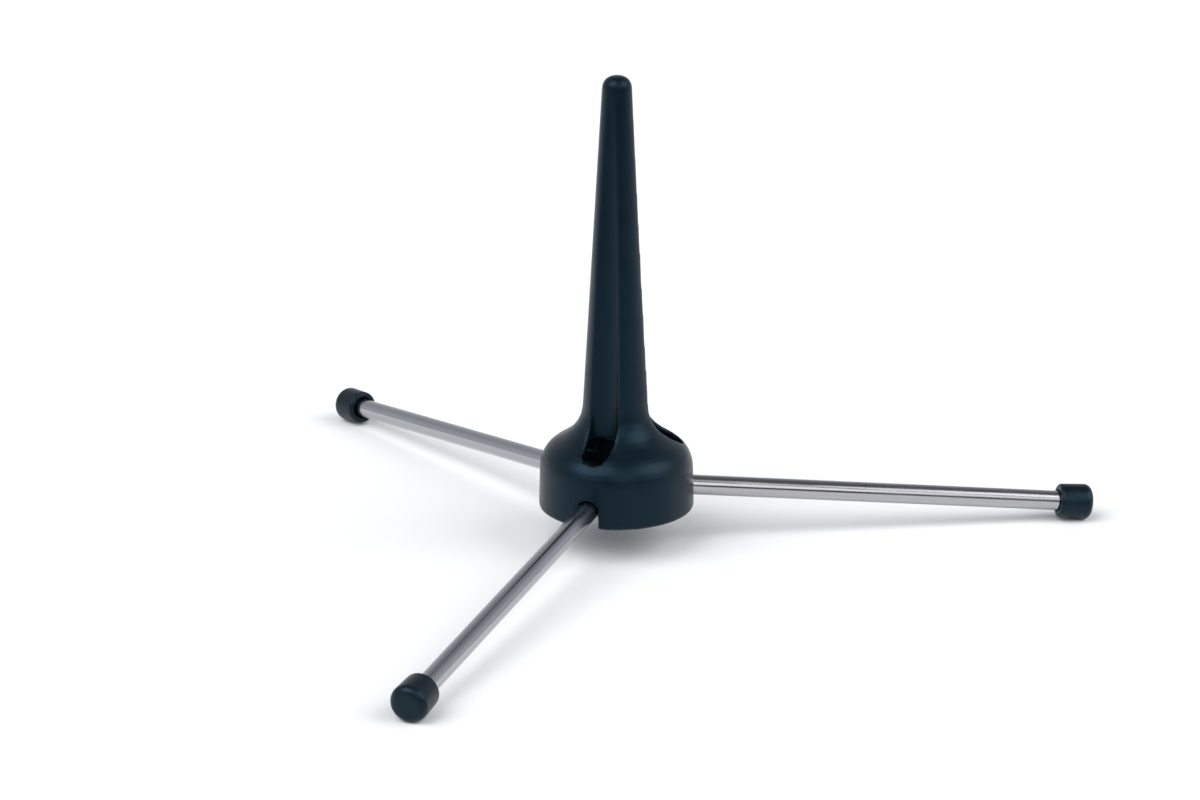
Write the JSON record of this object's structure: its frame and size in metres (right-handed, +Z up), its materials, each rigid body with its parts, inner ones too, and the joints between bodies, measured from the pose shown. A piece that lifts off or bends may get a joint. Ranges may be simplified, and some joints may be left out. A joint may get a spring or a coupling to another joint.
{
  "type": "clarinet peg stand",
  "caption": "Upright fluted peg on a round base, with folding flared tube legs and rubber feet, that holds a clarinet by its bell.",
  "frame": {"origin": "centre of the flat hub in the base's underside; with the legs out the rubber feet reach 15.6 mm below it", "axes": "+Z up along the peg, +X along leg 1; legs 2 and 3 follow at 120 and 240 degrees counter-clockwise seen from above"},
  "size_m": [0.299, 0.344, 0.1906],
  "materials": {
    "peg_plastic": "fine matte moulded texture, blue-black",
    "leg_nickel": "bright nickel plate over drawn tube, faint lengthwise lines",
    "foot_rubber": "satin black rubber"
  },
  "bodies": {
    "base": {"peg_and_base": "peg_plastic"},
    "leg_1": {"leg_tube_1": "leg_nickel", "rubber_foot_1": "foot_rubber"},
    "leg_2": {"leg_tube_2": "leg_nickel", "rubber_foot_2": "foot_rubber"},
    "leg_3": {"leg_tube_3": "leg_nickel", "rubber_foot_3": "foot_rubber"}
  },
  "joints": [
    {"name": "leg_1_swing", "type": "hinge", "parent": "base", "child": "leg_1", "pos_m": [0.021, 0, 0.0078], "axis": [0, 1, 0], "range_deg": [0, 82]},
    {"name": "leg_2_swing", "type": "hinge", "parent": "base", "child": "leg_2", "pos_m": [-0.0105, 0.01819, 0.0078], "axis": [-0.866, -0.5, 0], "range_deg": [0, 82]},
    {"name": "leg_3_swing", "type": "hinge", "parent": "base", "child": "leg_3", "pos_m": [-0.0105, -0.01819, 0.0078], "axis": [0.866, -0.5, 0], "range_deg": [0, 82]}
  ]
}
